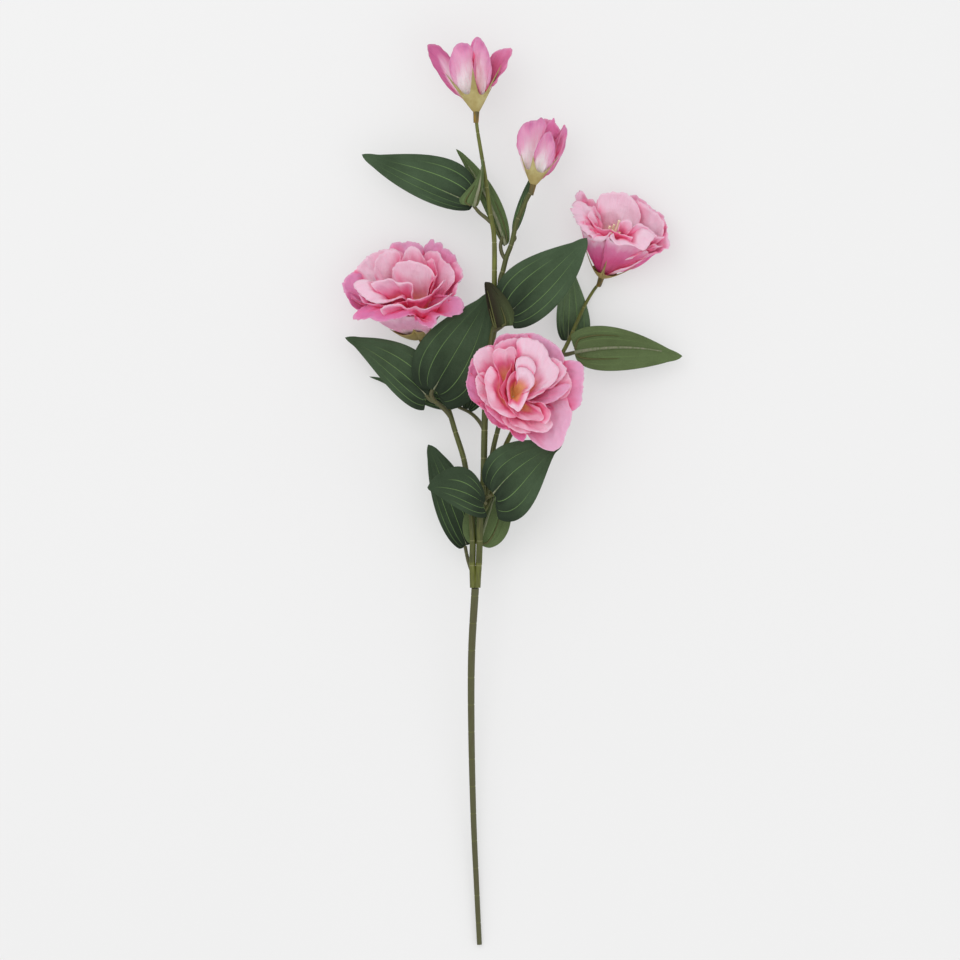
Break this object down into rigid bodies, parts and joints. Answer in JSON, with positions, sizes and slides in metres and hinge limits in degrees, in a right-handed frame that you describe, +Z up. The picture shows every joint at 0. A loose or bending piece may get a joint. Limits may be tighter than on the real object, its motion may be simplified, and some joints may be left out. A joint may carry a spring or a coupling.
{
  "type": "artificial lisianthus spray",
  "caption": "Long-stemmed lisianthus spray with open double blooms, buds and pointed leaves, lying flat for an arrangement or a vase.",
  "frame": {"origin": "middle of the bottom of the spray's box as it lies on a surface", "axes": "+Y from the cut end of the stem to the flowers, +Z up from the surface, +X to the right seen from above with the flowers away"},
  "size_m": [0.26, 0.7006, 0.1002],
  "materials": {
    "stem_plastic": "moulded olive-green plastic over wire, fine grooves along it and a groove round it at each joint",
    "collar_plastic": "brown-olive moulded plastic",
    "leaf_fabric": "matte dark green pressed fabric with light green printed veins, paler olive on the underside",
    "leaf_rib_plastic": "moulded green rib bonded under the leaf",
    "calyx_fabric": "olive-cream pressed fabric cut into pointed sepals",
    "petal_fabric": "soft matte pink fabric, paler inside, deep pink in the folds, fine crinkled rim",
    "pistil_plastic": "yellow-green moulded pistil with stamens"
  },
  "bodies": {
    "root": {"centre_stem": "stem_plastic", "centre_under_leaf": "leaf_fabric", "front_flower_calyx": "calyx_fabric", "front_flower_collar": "collar_plastic", "front_flower_inner_petals": "petal_fabric", "front_flower_middle_petals": "petal_fabric", "front_flower_outer_petals": "petal_fabric", "front_flower_pistil": "pistil_plastic", "front_flower_stem": "stem_plastic", "leading_bud_calyx": "calyx_fabric", "leading_bud_collar": "collar_plastic", "leading_bud_inner_petals": "petal_fabric", "leading_bud_outer_petals": "petal_fabric", "leading_bud_stem": "stem_plastic", "left_flower_calyx": "calyx_fabric", "left_flower_collar": "collar_plastic", "left_flower_inner_petals": "petal_fabric", "left_flower_middle_petals": "petal_fabric", "left_flower_outer_petals": "petal_fabric", "left_flower_pistil": "pistil_plastic", "left_flower_stem": "stem_plastic", "left_heart_leaf": "leaf_fabric", "left_outer_leaf": "leaf_fabric", "left_under_leaf": "leaf_fabric", "lower_back_leaf": "leaf_fabric", "lower_back_leaf_rib": "leaf_rib_plastic", "lower_left_back_leaf": "leaf_fabric", "lower_left_front_leaf": "leaf_fabric", "lower_right_leaf": "leaf_fabric", "main_stem": "stem_plastic", "middle_folded_leaf": "leaf_fabric", "middle_folded_leaf_rib": "leaf_rib_plastic", "middle_right_leaf": "leaf_fabric", "right_back_leaf": "leaf_fabric", "right_flower_calyx": "calyx_fabric", "right_flower_collar": "collar_plastic", "right_flower_inner_petals": "petal_fabric", "right_flower_middle_petals": "petal_fabric", "right_flower_outer_petals": "petal_fabric", "right_flower_pistil": "pistil_plastic", "right_flower_stem": "stem_plastic", "right_side_leaf": "leaf_fabric", "right_side_leaf_rib": "leaf_rib_plastic", "side_bud_calyx": "calyx_fabric", "side_bud_collar": "collar_plastic", "side_bud_inner_petals": "petal_fabric", "side_bud_leaf": "leaf_fabric", "side_bud_outer_petals": "petal_fabric", "side_bud_stem": "stem_plastic", "stem_fork": "stem_plastic", "upper_back_leaf": "leaf_fabric", "upper_back_leaf_rib": "leaf_rib_plastic", "upper_left_leaf": "leaf_fabric", "upper_left_small_leaf": "leaf_fabric", "upper_left_small_leaf_rib": "leaf_rib_plastic"}
  },
  "joints": []
}
